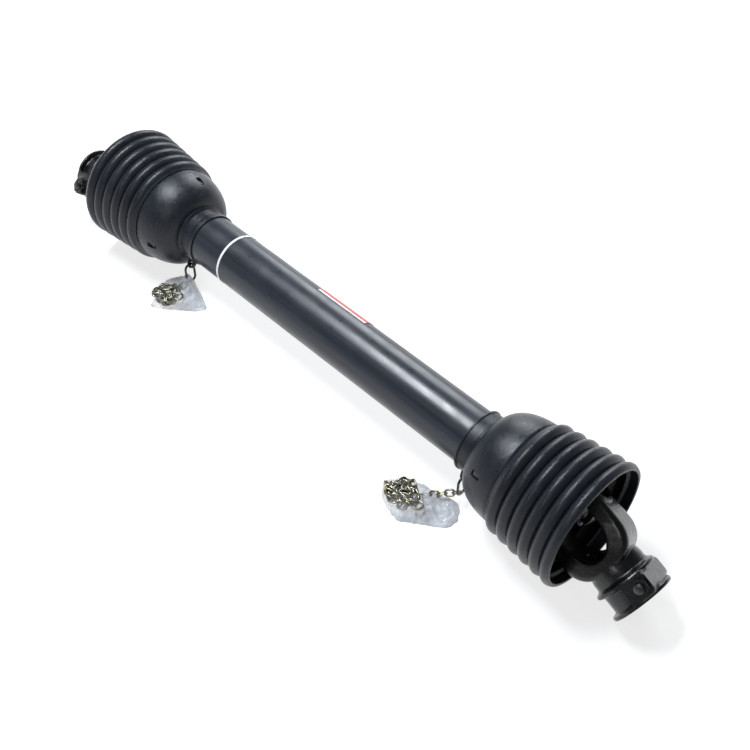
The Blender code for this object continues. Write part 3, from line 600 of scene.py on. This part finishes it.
def guard():
    for side, slot_angle, tube_radius, eye_angle in (
        ("front", math.radians(33), OUTER_TUBE, math.radians(-128)),
        ("rear", math.radians(-2), INNER_TUBE, math.radians(-52)),
    ):
        bell(ENDS[side])
        dome(ENDS[side], slot_angle, tube_radius, eye_angle)
    for name, radius, wall, material, body, node in (
        ("outer_tube_skin", OUTER_TUBE, 0.0024, "tube_plastic", "front_guard", "outer_guard_tube"),
        ("end_ring_skin", 0.0370, 0.0017, "guard_plastic", "front_guard", "tube_end_ring"),
        ("band_skin", 0.0358, 0.0005, "white_band", "front_guard", "marker_band"),
        ("inner_tube_skin", INNER_TUBE, 0.0022, "tube_plastic", "rear_guard", "inner_guard_tube"),
    ):
        low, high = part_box(node)
        pipe(name, low.x, high.x, radius, wall, material, body, node)
    label()


guard()


# ---------------------------------------------------------------- forged yokes
EAR_RADIUS, EAR_INNER, EAR_OUTER, WIDE_EAR = 0.0205, 0.0225, 0.0405, 0.0422
GAP_DEPTH, YOKE_BASE = 0.052, 0.077
CAP_RADIUS, CROSS_SPAN = 0.0135, 0.0746
HUB_END, HUB_RADIUS, FLANGE_RADIUS = 0.1210, 0.0315, 0.0378
PIN_STATION, PIN_OFFSET, PIN_RADIUS, PIN_TOP = 0.1052, 0.0195, 0.0060, 0.0365
FORGED_VOXEL = 0.0009


def yoke_section(inner, outer, half_width):
    """Rounded section between an inner and an outer point, wide radii outside."""
    inner, outer = Vector(inner), Vector(outer)
    across, thick = (outer - inner).normalized(), (outer - inner).length
    wide, tight = min(0.0070, 0.6 * half_width), min(0.0035, 0.4 * half_width)
    ring = []
    for depth, side, radius, first in (
        (thick - wide, half_width - wide, wide, 0), (tight, half_width - tight, tight, 90),
        (tight, tight - half_width, tight, 180), (thick - wide, wide - half_width, wide, 270),
    ):
        for a, z in arc((depth, side), radius, first, first + 90, 5):
            spot = inner + across * a
            ring.append((spot.x, spot.y, z))
    return ring


def bow(ear_radius, ear_outer, gap_depth):
    """The U of a yoke from ear tip to ear tip: ears along Y, open towards -X."""
    half = []
    for degrees in range(10, 91, 8):
        x = -ear_radius * math.cos(math.radians(degrees))
        half.append(((x, EAR_INNER), (x, ear_outer - 0.0004), ear_radius * math.sin(math.radians(degrees))))
    for degrees in range(0, 91, 6):
        turn = math.radians(degrees)
        inner = (0.026 + (gap_depth - 0.026) * math.sin(turn), EAR_INNER * max(math.cos(turn), 0) ** 0.8)
        reach = (ear_outer - 0.0004) * max(math.cos(turn), 0) ** 0.72
        outer = (0.043 + (YOKE_BASE - 0.043) * math.sin(turn), reach)
        half.append((inner, outer, 0.0230 + 0.0065 * math.sin(turn)))
    rings = [yoke_section(*station) for station in half]
    rings += [yoke_section((i[0], -i[1]), (o[0], -o[1]), w) for i, o, w in reversed(half[:-1])]
    return loft("bow", rings)


def ear_place(sign):
    return axes_frame((0, sign, 0), (0, 0, 1))


def forge(name, parts, smoothing=9):
    """Joins rough solids into one forging with run-out fillets."""
    bm = bmesh.new()
    for part in parts:
        bm.from_mesh(part.data)
    mesh = bpy.data.meshes.new(name)
    bm.to_mesh(mesh)
    bm.free()
    made = linked(name, mesh)
    for part in parts:
        bpy.data.objects.remove(part)
    remesh = made.modifiers.new("skin", "REMESH")
    remesh.mode, remesh.voxel_size, remesh.adaptivity = "VOXEL", FORGED_VOXEL, 0.0
    soften = made.modifiers.new("fillets", "SMOOTH")
    soften.factor, soften.iterations = 0.5, smoothing
    bake(made)
    return made


def ear_cutters(ear_outer):
    """Bearing bore, circlip groove and machined face in each ear."""
    tools = []
    face = ear_outer + 0.0010
    groove = CROSS_SPAN / 2 + 0.0003
    bore = CAP_RADIUS + 0.0002
    profile = [
        (0.0150, 0.0), (0.0150, bore), (groove, bore), (groove, bore + 0.0013),
        (groove + 0.0018, bore + 0.0013), (groove + 0.0018, bore), (face - 0.0012, bore),
        (face, bore + 0.0012), (face, 0.0198), (face + 0.008, 0.0198), (face + 0.008, 0.0),
    ]
    for sign in (1, -1):
        tool = revolve(f"ear_cut_{sign}", profile, 64, closed=False)
        tool.data.transform(ear_place(sign))
        tools.append(tool)
    return tools


def spline_outline():
    """Six straight keys in the hub's bore."""
    major, minor, half_key = 0.0175, 0.0151, 0.0044
    tip = math.degrees(math.asin(half_key / major))
    foot = math.degrees(math.asin(half_key / minor))
    spots = []
    for key in range(6):
        middle = 60.0 * key
        spots += arc((0, 0), major, middle - tip, middle + tip, 6)
        spots += arc((0, 0), minor, middle + foot, middle + 60 - foot, 6)
    return spots


def outer_yoke_mesh():
    """Forging with bossed ears, two flanges, the pin's block and a splined bore."""
    inner, outer = 0.0920, HUB_END - 0.0040
    hub = revolve("hub", [
        (0.0640, 0.0), (0.0640, 0.0250), (0.0710, 0.0300), (0.0790, HUB_RADIUS),
        (inner - 0.0050, HUB_RADIUS),
        (inner - 0.0021, FLANGE_RADIUS - 0.0014), (inner - 0.0010, FLANGE_RADIUS - 0.0004),
        (inner + 0.0012, FLANGE_RADIUS - 0.0004), (inner + 0.0022, FLANGE_RADIUS - 0.0012),
        (inner + 0.0036, HUB_RADIUS - 0.0002), (outer - 0.0020, HUB_RADIUS - 0.0002),
        (outer - 0.0004, FLANGE_RADIUS - 0.0012), (outer + 0.0004, FLANGE_RADIUS),
        (HUB_END - 0.0006, FLANGE_RADIUS), (HUB_END + 0.0006, FLANGE_RADIUS - 0.0012),
        (HUB_END + 0.0006, 0.0),
    ], 96, closed=False)
    foot = rounded_box(0.0245, 0.0310, 0.0050, 6, (PIN_STATION, 0.0160))
    block = extrude("block", foot, -0.0300, PIN_TOP + 0.0008)
    block.data.transform(Matrix(((0, 1, 0, 0), (0, 0, 1, 0), (1, 0, 0, 0), (0, 0, 0, 1))))
    bosses = []
    for sign in (1, -1):
        boss = revolve(f"boss_{sign}", [
            (0.0300, 0.0), (0.0300, 0.0206), (WIDE_EAR + 0.0012, 0.0194), (WIDE_EAR + 0.0012, 0.0),
        ], 64, closed=False)
        boss.data.transform(ear_place(sign))
        bosses.append(boss)
    made = forge("outer_yoke_blank", [bow(0.0215, WIDE_EAR, 0.0590), hub, block, *bosses])
    bore = extrude("bore", spline_outline(), 0.040, HUB_END + 0.003)
    mouth = revolve("mouth", [
        (HUB_END - 0.0030, 0.0), (HUB_END - 0.0030, 0.0174), (HUB_END + 0.0020, 0.0222),
        (HUB_END + 0.0020, 0.0),
    ], 96, closed=False)
    faced = revolve("faced", [
        (HUB_END, 0.0), (HUB_END, 0.05), (HUB_END + 0.01, 0.05), (HUB_END + 0.01, 0.0),
    ], 64, closed=False)
    hole = revolve("pin_hole", [
        (-0.026, 0.0), (-0.026, PIN_RADIUS + 0.0003), (0.05, PIN_RADIUS + 0.0003), (0.05, 0.0),
    ], 48, closed=False)
    hole.data.transform(axes_frame((0, 0, 1), (1, 0, 0), (PIN_STATION, PIN_OFFSET, 0)))
    seat = extrude("seat", rounded_box(0.06, 0.06, 0.002), PIN_TOP, PIN_TOP + 0.01)
    seat.data.transform(axes_frame((0, 0, 1), (1, 0, 0), (PIN_STATION, 0.016, 0)))
    return take(boolean(made, [bore, mouth, faced, hole, seat, *ear_cutters(WIDE_EAR)]))


def inner_yoke_mesh():
    """Forging with a neck that is bored for the drive tube and grooved for the guard's bearing."""
    neck_radius, end = 0.0335, 0.1060
    low, high = -BEARING_STATION - 0.0048, -BEARING_STATION + 0.0048
    neck = revolve("neck", [
        (0.0600, 0.0), (0.0600, 0.0250), (0.0700, 0.0310), (0.0780, neck_radius),
        (end - 0.0015, neck_radius), (end, neck_radius - 0.0015), (end, 0.0),
    ], 96, closed=False)
    made = forge("inner_yoke_blank", [bow(EAR_RADIUS, EAR_OUTER, GAP_DEPTH), neck])
    groove = revolve("groove", [(low, 0.0305), (low, 0.045), (high, 0.045), (high, 0.0305)], 96)
    bore = revolve("bore", [
        (0.0730, 0.0), (0.0730, 0.0235), (end + 0.003, 0.0235), (end + 0.003, 0.0),
    ], 64, closed=False)
    return take(boolean(made, [groove, bore, *ear_cutters(EAR_OUTER)]))


def place_mesh(name, mesh, material, place, body, slot, *nodes):
    made = linked(name, mesh.copy())
    made.data.materials.clear()
    made.data.materials.append(MATERIALS[material])
    made.data.shade_smooth()
    made.data.set_sharp_from_angle(angle=math.radians(38))
    return settle(made, place, body, slot, *nodes)


def cross_mesh():
    block = extrude("cross_block", rounded_box(0.0300, 0.0300, 0.0075, 6), -0.0110, 0.0110)
    arms = []
    reach = CROSS_SPAN / 2 - 0.0042
    for name, axis in (("y", (0, 1, 0)), ("z", (0, 0, 1))):
        profile = [(-reach, 0.0), (-reach, 0.0078), (-0.0205, 0.0080), (-0.0175, 0.0108)]
        arm = revolve(f"arm_{name}", profile + [(-x, r) for x, r in reversed(profile)], 48, closed=False)
        arm.data.transform(axes_frame(axis, (1, 0, 0)))
        arms.append(arm)
    return take(boolean(block, arms, "UNION"))


def cup_mesh():
    """Cup with a sealing band at its open end and a shallow dish in its closed end."""
    end, radius = CROSS_SPAN / 2 - 0.0003, CAP_RADIUS - 0.0001
    return take(revolve("cup", [
        (0.0215, 0.0084), (0.0215, radius - 0.0012), (0.0222, radius - 0.0006),
        (0.0240, radius - 0.0006), (0.0244, radius), (end - 0.0008, radius), (end, radius - 0.0008),
        (end, radius * 0.62), (end - 0.0006, radius * 0.55), (end - 0.0006, 0.0004),
        (end - 0.0035, 0.0004), (end - 0.0035, 0.0083),
    ], 64))


def circlip_mesh():
    """Sprung ring, open between its two eyes."""
    low = CROSS_SPAN / 2 + 0.0005
    outline = arc((0, 0), CAP_RADIUS + 0.0009, 22, 338, 60)
    outline += arc((0, 0), CAP_RADIUS - 0.0030, 334, 26, 50)
    ring = extrude("circlip", outline, low, low + 0.0013)
    holes = []
    for side in (1, -1):
        turn = math.radians(32 * side)
        middle = CAP_RADIUS - 0.0012
        eye = (middle * math.cos(turn), middle * math.sin(turn))
        holes.append(extrude("eye", arc(eye, 0.0009, 0, 330, 11), low - 0.001, low + 0.003))
    return take(boolean(ring, holes))


def pin_mesh():
    """Push pin with a waist for the locking ball and a domed button."""
    return take(revolve("pin", [
        (-0.0165, 0.0), (-0.0165, 0.0056), (-0.0160, PIN_RADIUS), (0.0030, PIN_RADIUS),
        (0.0045, 0.0040), (0.0120, 0.0040), (0.0135, PIN_RADIUS), (PIN_TOP + 0.0065, PIN_RADIUS),
        (PIN_TOP + 0.0078, 0.0056), (PIN_TOP + 0.0085, 0.0044), (PIN_TOP + 0.0085, 0.0),
    ], 48, closed=False))


def gland_mesh():
    """Hexagonal nut round the push pin."""
    low = PIN_TOP + 0.0003
    body = extrude("gland", arc((0, 0), 0.0110, 0, 300, 5), low, low + 0.0050)
    bore = PIN_RADIUS + 0.0002
    hole = revolve("gland_hole", [
        (low - 0.002, 0.0), (low - 0.002, bore), (low + 0.008, bore), (low + 0.008, 0.0),
    ], 48, closed=False)
    return take(boolean(body, [hole]))


def nipple_mesh():
    """Grease nipple with a round base, a waist and a ball tip."""
    return take(revolve("nipple", [
        (0.0113, 0.0), (0.0113, 0.0038), (0.0140, 0.0038), (0.0145, 0.0026), (0.0172, 0.0024),
        (0.0186, 0.0031), (0.0196, 0.0031), (0.0212, 0.0014), (0.0212, 0.0),
    ], 24, closed=False))


def joints():
    outer, inner, cross = outer_yoke_mesh(), inner_yoke_mesh(), cross_mesh()
    cup, clip, pin, gland, nipple = cup_mesh(), circlip_mesh(), pin_mesh(), gland_mesh(), nipple_mesh()
    pin_place = axes_frame((0, 0, 1), (1, 0, 0), (PIN_STATION, PIN_OFFSET, 0))
    enamel, bright = "black_enamel", "bearing_steel"
    for side, end in ENDS.items():
        for piece, mesh, material, place, body, slot, node in (
            ("yoke_forging", outer, enamel, end.yoke, "yoke", enamel, "outer_yoke"),
            ("shaft_forging", inner, enamel, end.shaft, "shaft", enamel, "inner_yoke"),
            ("cross_forging", cross, bright, end.cross, "cross_body", bright, "cross"),
            ("nipple", nipple, bright, end.cross, "cross_body", bright, "grease_nipple"),
            ("push_pin", pin, "pin_steel", end.yoke @ pin_place, "pin", bright, "lock_pin"),
            ("gland", gland, enamel, end.yoke @ pin_place, "yoke", enamel, "pin_gland"),
        ):
            place_mesh(f"{side}_{piece}", mesh, material, place, f"{side}_{body}", slot, f"{side}_{node}")
        for kind, place, body in (("outer", end.yoke, f"{side}_yoke"), ("inner", end.shaft, f"{side}_shaft")):
            for sign, which in ((1, "a"), (-1, "b")):
                spot = place @ axes_frame((0, sign, 0), (1, 0, 0))
                ear = f"{side}_{kind}"
                place_mesh(f"{ear}_cap_{which}", cup, bright, spot, body, bright, f"{ear}_cup_{which}")
                place_mesh(f"{ear}_clip_{which}", clip, bright, spot, body, bright, f"{ear}_circlip_{which}")


joints()


# ---------------------------------------------------------------- chains and bags
def stadium(length, width, steps=8):
    reach = length / 2 - width / 2
    return arc((reach, 0), width / 2, -90, 90, steps) + arc((-reach, 0), width / 2, 90, 270, steps)


def joined(name, parts, material):
    bm = bmesh.new()
    for part in parts:
        bm.from_mesh(part.data)
        bpy.data.objects.remove(part)
    mesh = bpy.data.meshes.new(name)
    bm.to_mesh(mesh)
    bm.free()
    mesh.materials.append(MATERIALS[material])
    made = linked(name, mesh)
    made.data.shade_smooth()
    return made


def smooth_path(corners, step):
    """Evenly spaced points along a Catmull-Rom curve through the corners."""
    corners = [Vector(c) for c in corners]
    padded = [corners[0] * 2 - corners[1], *corners, corners[-1] * 2 - corners[-2]]
    fine = []
    for a, b, c, d in zip(padded, padded[1:], padded[2:], padded[3:]):
        for i in range(24):
            t = i / 24
            bend, twist = 2 * a - 5 * b + 4 * c - d, 3 * b - a - 3 * c + d
            fine.append(0.5 * ((2 * b) + (c - a) * t + bend * t * t + twist * t ** 3))
    fine.append(corners[-1])
    spots, travelled = [fine[0]], 0.0
    for before, after in zip(fine, fine[1:]):
        travelled += (after - before).length
        while travelled >= step:
            travelled -= step
            spots.append(after.lerp(before, travelled / max((after - before).length, 1e-9)))
    return spots


def chain_links(name, path, length=0.0118, width=0.0074, wire=0.0013):
    """Welded links threaded along a path, each turned square to the last."""
    parts = []
    loop = stadium(length, width)
    for i in range(len(path) - 1):
        middle, along = (path[i] + path[i + 1]) / 2, (path[i + 1] - path[i]).normalized()
        up = Vector((0, 0, 1)) if abs(along.z) < 0.9 else Vector((1, 0, 0))
        side = along.cross(up).normalized()
        turn = Matrix.Rotation(math.radians(90 * (i % 2) + 40), 3, along)
        across = turn @ side
        ring = [middle + along * a + across * b for a, b in loop]
        parts.append(sweep(f"{name}_{i}", ring, wire, None, 8, True))
    return joined(name, parts, "chain_zinc")


def spring_hook(name, place):
    """Wire hook with an eye, as on a safety chain's end."""
    eye, bend = 0.0035, 0.0062
    spots = []
    for i in range(3, 18):
        turn = math.tau * i / 16
        spots.append(Vector((eye * math.cos(turn), eye * math.sin(turn), 0)))
    spots += [Vector((0.010, 0.0012, 0)), Vector((0.017, 0.0042, 0))]
    for i in range(10):
        turn = math.radians(100 - 26 * i)
        spots.append(Vector((0.019 + bend * math.cos(turn), bend * math.sin(turn) - 0.0010, 0)))
    made = sweep(name, smooth_path(spots, 0.0012), 0.0013, "chain_zinc", 10)
    made.data.transform(place)
    return made


def outline_at(corners, turn):
    """Distance from the patch's middle to its outline in one direction."""
    middle = sum((Vector(c) for c in corners), Vector((0, 0))) / len(corners)
    ray = Vector((math.cos(turn), math.sin(turn)))
    best = 0.0
    for a, b in zip(corners, corners[1:] + corners[:1]):
        a, b = Vector(a) - middle, Vector(b) - middle
        edge = b - a
        bottom = ray.x * edge.y - ray.y * edge.x
        if abs(bottom) < 1e-12:
            continue
        reach = (a.x * edge.y - a.y * edge.x) / bottom
        share = (a.x * ray.y - a.y * ray.x) / bottom
        if reach > 0 and -1e-9 <= share <= 1 + 1e-9:
            best = max(best, reach)
    return middle, best


def film_bag(end, corners, heap, heap_height, apex, seed):
    """Closed film pouch over the heap: creased top, flat back, corners lying thin."""
    around, across = 132, 34
    reach = []
    for i in range(around):
        middle, distance = outline_at(corners, math.tau * i / around)
        reach.append(distance)
    for _ in range(2):
        after = reach[1:] + reach[:1]
        reach = [0.25 * reach[i - 1] + 0.5 * reach[i] + 0.25 * after[i] for i in range(around)]
    points, faces = [], []
    base = FLOOR_GAP

    def top_height(x, y, share):
        spot = Vector((x, y, 0))
        away = (spot.xy - heap).length
        cloth = heap_height * math.exp(-(away / 0.034) ** 2)
        tent = apex.z * math.exp(-((spot.xy - apex.xy).length / 0.017) ** 1.5) if apex.z else 0.0
        rough = noise.fractal(Vector((x * 46, y * 46, seed)), 0.9, 2.2, 4)
        folds = abs(noise.noise(Vector((x * 90, y * 90, seed + 5.0)))) * 0.0052
        lift = max(cloth, tent) + 0.0022 + 0.0034 * rough + folds
        return base + 0.0003 + max(lift, 0.0004) * (1 - share ** 5)

    for layer in (1, 0):
        for row in range(1, across + 1):
            share = row / across
            for i in range(around):
                turn = math.tau * i / around
                edge = reach[i] * share * (1 + 0.03 * noise.noise(Vector((i * 0.35, seed, 1.0))) * share)
                x, y = middle.x + math.cos(turn) * edge, middle.y + math.sin(turn) * edge
                z = top_height(x, y, share) if layer else base
                if row == across:
                    z = base + 0.00015
                points.append((x, y, z))
        points.append((middle.x, middle.y, top_height(middle.x, middle.y, 0.0) if layer else base))
    block = around * across + 1
    for layer in (0, 1):
        start = layer * block
        for i in range(around):
            j = (i + 1) % around
            faces.append((start + block - 1, start + i, start + j))
            for row in range(across - 1):
                a, b = start + row * around, start + (row + 1) * around
                faces.append((a + i, b + i, b + j, a + j))
    made = from_faces(f"{end.side}_film", points, faces, "bag_film", 180.0)
    settle(made, Matrix.Identity(4), f"{end.side}_chain", "bag_film", f"{end.side}_chain_bag")
    cover = made.data.attributes.new("over_chain", "FLOAT", "POINT")
    for i, vertex in enumerate(made.data.vertices):
        cover.data[i].value = math.exp(-((vertex.co.xy - heap).length / 0.024) ** 4)
    # The cut size is not known: this is the finished film's own area, one layer, at a chosen width.
    return made


def chain_set(end, corners, heap, apex_height, seed, hook_at, hook_turn):
    """Link through the eye, chain down into the bag, heap of links, hook and film."""
    draw = random.Random(seed)
    side = end.side
    eye = end.eye
    out = Vector((0, eye.y - end.centre.y, eye.z - end.centre.z)).normalized()
    bend, length = 0.0070, 0.0300
    top = eye + out * bend
    drop = length / 2 - bend
    loop = [top + Vector((0, across, along - drop)) for along, across in stadium(length, 2 * bend, 14)]
    hook = sweep(f"{side}_eye_link", loop, 0.0016, "black_enamel", 12, True)
    settle(hook, Matrix.Identity(4), f"{side}_chain", "black_enamel", f"{side}_chain_hook")
    foot = top - Vector((0, 0, length - bend - 0.002))
    spots = [foot, foot.lerp(Vector((*heap, 0.012)), 0.35) - Vector((0, 0, 0.004))]
    spots.append(Vector((*foot.xy.lerp(heap, 0.6), 0.007)))
    for i in range(30):
        turn = i * 2.4 + draw.uniform(-0.5, 0.5)
        reach = 0.0185 * math.sqrt(draw.uniform(0.15, 1.0))
        layer = 0.0040 + 0.0046 * (i // 10)
        x, y = heap.x + 1.35 * reach * math.cos(turn), heap.y + reach * math.sin(turn)
        spots.append(Vector((x, y, layer + draw.uniform(0, 0.002))))
    links = chain_links(f"{side}_heap", smooth_path(spots, 0.0092))
    settle(links, Matrix.Identity(4), f"{side}_chain", "chain_zinc", f"{side}_safety_chain")
    lie = Matrix.Translation((*hook_at, 0.0165)) @ Matrix.Rotation(hook_turn, 4, "Z")
    spring = spring_hook(f"{side}_spring_hook", lie)
    settle(spring, Matrix.Identity(4), f"{side}_chain", "chain_zinc")
    film_bag(end, corners, heap, 0.0170, Vector((foot.x, foot.y, apex_height)), seed)


def on_floor(end, spots):
    """Floor points, along the shaft from the joint and across from its axis, in millimetres."""
    return [Vector((end.centre.x + end.sign * a / 1000, end.centre.y + b / 1000)) for a, b in spots]


def chains():
    front, rear = ENDS["front"], ENDS["rear"]
    outline = on_floor(front, (
        (-208, -74), (-205, -67), (-189, -66), (-185, -54), (-169, -44), (-146, -43), (-125, -35),
        (-116, -41), (-108, -53), (-107, -65), (-111, -72), (-157, -104), (-175, -100), (-193, -93),
    ))
    heap, hook = on_floor(front, ((-176, -76), (-166, -86)))
    chain_set(front, outline, heap, 0.012, 4, hook, 0.4)
    outline = on_floor(rear, (
        (-108, -94), (-92, -68), (-84, -44), (-92, -24), (-112, -22), (-140, -30), (-168, -42),
        (-160, -56), (-146, -68), (-124, -85),
    ))
    heap, hook = on_floor(rear, ((-112, -68), (-116, -66)))
    chain_set(rear, outline, heap, 0.034, 9, hook, 0.2)


chains()


# ---------------------------------------------------------------- carried-over nodes
def paint_nodes():
    slots = {entry["node"]: entry["material_slot"] for entry in frame["record"]["subparts"]}
    for name, node in frame["nodes"].items():
        material = MATERIALS.get(slots[name])
        if material is None:
            continue
        node.data.materials.clear()
        node.data.materials.append(material)


paint_nodes()


# ---------------------------------------------------------------- stage
def lamp(name, place, target, size, power, colour=(1, 1, 1)):
    data = bpy.data.lights.new(name, "AREA")
    data.shape = "RECTANGLE"
    data.size, data.size_y = size
    data.energy, data.color = power, colour
    made = linked(name, data)
    made.location = place
    made.rotation_mode = "QUATERNION"
    made.rotation_quaternion = (Vector(target) - Vector(place)).to_track_quat("-Z", "Y")


def stage():
    mesh = bpy.data.meshes.new("floor")
    half, below = 12.0, -0.0003
    corners = [(x * half, y * half, below) for x, y in ((-1, -1), (1, -1), (1, 1), (-1, 1))]
    mesh.from_pydata(corners, [], [(0, 1, 2, 3)])
    floor = linked("floor", mesh)
    n = Nodes("floor", (0.92, 0.92, 0.92), 0.85)
    n.shader.inputs["Emission Color"].default_value = (1.0, 1.0, 1.0, 1.0)
    n.shader.inputs["Emission Strength"].default_value = 0.74
    n.finish(n.ramp(n.noise(2.0, 3.0), (0.3, 0.35), (0.7, 0.37)))
    mesh.materials.append(n.material)
    world = bpy.data.worlds.new("world")
    world.use_nodes = True
    tree = world.node_tree
    back = tree.nodes["Background"]
    parts = tree.nodes.new("ShaderNodeSeparateXYZ")
    tree.links.new(tree.nodes.new("ShaderNodeTexCoord").outputs["Generated"], parts.inputs["Vector"])
    sky = tree.nodes.new("ShaderNodeValToRGB")
    for element, at, level in zip(sky.color_ramp.elements, (0.04, 0.42), (0.60, 0.14)):
        element.position, element.color = at, (0.93 * level, 0.97 * level, level, 1.0)
    tree.links.new(parts.outputs["Z"], sky.inputs["Fac"])
    tree.links.new(sky.outputs["Color"], back.inputs["Color"])
    bpy.context.scene.world = world
    bpy.context.scene.view_settings.view_transform = "Standard"
    lamp("overhead", (-0.80, -0.12, 2.25), (0.0, 0.0, 0.0), (1.0, 0.45), 70.0, (0.87, 0.93, 1.0))
    lamp("back", (-1.1, 1.95, 1.15), (0.1, 0.0, 0.08), (1.0, 1.2), 34.0, (0.90, 0.95, 1.0))
    lamp("near", (0.3, -1.7, 1.9), (0.0, 0.0, 0.0), (0.9, 0.35), 7.0)


stage()
